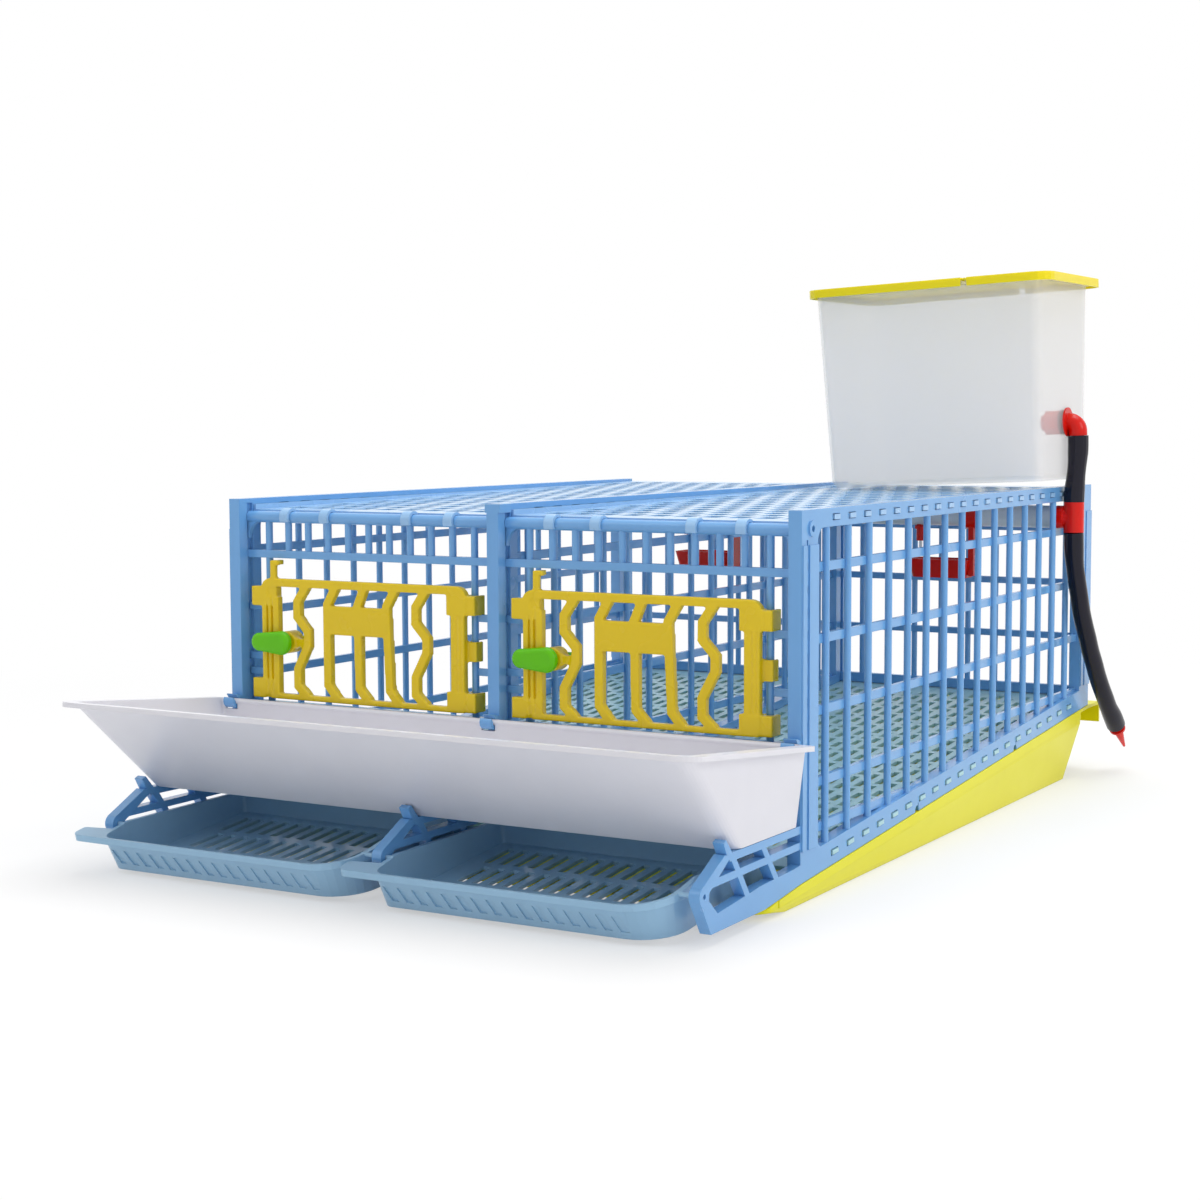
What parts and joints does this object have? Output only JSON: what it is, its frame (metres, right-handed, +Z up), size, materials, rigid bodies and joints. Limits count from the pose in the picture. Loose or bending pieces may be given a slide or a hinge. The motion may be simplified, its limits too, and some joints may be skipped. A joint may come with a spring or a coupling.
{
  "type": "quail cage",
  "caption": "Low snap-together plastic bird cage with wavy front doors, feed trough, roll-out egg trays, droppings tray and a water tank feeding drinkers by a hose.",
  "frame": {"origin": "on the ground under the middle of the cage's width and depth, on the droppings tray's flat bottom", "axes": "+X to the right as seen from the doors, +Y to the back, +Z up"},
  "size_m": [0.5428, 0.8594, 0.4574],
  "materials": {
    "blue_pp": "moulded polypropylene, satin",
    "white_pp": "moulded polypropylene, satin",
    "tray_yellow": "moulded polypropylene, satin",
    "door_yellow": "moulded polypropylene, satin",
    "green_abs": "moulded, glossy",
    "clear_pp": "milky translucent, smooth",
    "red_pp": "moulded, glossy",
    "pipe_white": "extruded pipe, smooth",
    "black_rubber": "smooth hose, glossy",
    "steel": "turned stainless pin"
  },
  "bodies": {
    "cage": {"side_panel_right": "blue_pp", "side_panel_left": "blue_pp", "partition_panel": "blue_pp", "rear_panel_left": "blue_pp", "rear_panel_right": "blue_pp", "roof_panel_left": "blue_pp", "roof_panel_right": "blue_pp", "front_panel_left": "blue_pp", "front_panel_right": "blue_pp", "floor_panel_left": "blue_pp", "floor_panel_right": "blue_pp", "egg_tray_left": "blue_pp", "egg_tray_right": "blue_pp", "water_tank": "clear_pp", "outlet_elbow": "red_pp", "outlet_seal": "black_rubber", "outlet_nut": "red_pp", "supply_hose": "black_rubber", "pipe_tee": "red_pp", "water_pipe": "pipe_white", "pipe_end_cap": "pipe_white", "drinker_cup_left": "red_pp", "drinker_cup_right": "red_pp", "nipple_body_left": "red_pp", "nipple_body_right": "red_pp", "drain_hose": "black_rubber", "drain_plug": "red_pp"},
    "manure_tray": {"manure_tray": "tray_yellow"},
    "door_left": {"door_left": "door_yellow"},
    "door_right": {"door_right": "door_yellow"},
    "latch_left": {"latch_left": "green_abs"},
    "latch_right": {"latch_right": "green_abs"},
    "feed_trough": {"feed_trough": "white_pp"},
    "tank_lid": {"tank_lid": "door_yellow"},
    "lid_flap": {"lid_flap": "door_yellow"},
    "nipple_pin_left": {"nipple_pin_left": "steel"},
    "nipple_pin_right": {"nipple_pin_right": "steel"}
  },
  "joints": [
    {"name": "manure_tray_slide", "type": "slide", "parent": "cage", "child": "manure_tray", "axis": [0, 1, 0], "range_m": [0, 0.45]},
    {"name": "door_left_hinge", "type": "hinge", "parent": "cage", "child": "door_left", "pos_m": [-0.0245, -0.2995, 0.161], "axis": [0, 0, 1], "range_deg": [0, 50]},
    {"name": "door_right_hinge", "type": "hinge", "parent": "cage", "child": "door_right", "pos_m": [0.2205, -0.2995, 0.161], "axis": [0, 0, 1], "range_deg": [0, 50]},
    {"name": "latch_left_turn", "type": "hinge", "parent": "door_left", "child": "latch_left", "pos_m": [-0.1965, -0.3075, 0.1585], "axis": [0, 1, 0], "range_deg": [0, 90]},
    {"name": "latch_right_turn", "type": "hinge", "parent": "door_right", "child": "latch_right", "pos_m": [0.0485, -0.3075, 0.1585], "axis": [0, 1, 0], "range_deg": [0, 90]},
    {"name": "feed_trough_tip", "type": "hinge", "parent": "cage", "child": "feed_trough", "pos_m": [0, -0.3185, 0.1103], "axis": [1, 0, 0], "range_deg": [-35, 0]},
    {"name": "tank_lid_lift", "type": "slide", "parent": "cage", "child": "tank_lid", "axis": [-0.0436, 0, 0.999], "range_m": [0, 0.06]},
    {"name": "lid_flap_hinge", "type": "hinge", "parent": "tank_lid", "child": "lid_flap", "pos_m": [0.18433, 0.2275, 0.45282], "axis": [0, -1, 0], "range_deg": [0, 100]},
    {"name": "nipple_left_push", "type": "slide", "parent": "cage", "child": "nipple_pin_left", "axis": [0, 0, 1], "range_m": [0, 0.0015]},
    {"name": "nipple_right_push", "type": "slide", "parent": "cage", "child": "nipple_pin_right", "axis": [0, 0, 1], "range_m": [0, 0.0015]}
  ]
}
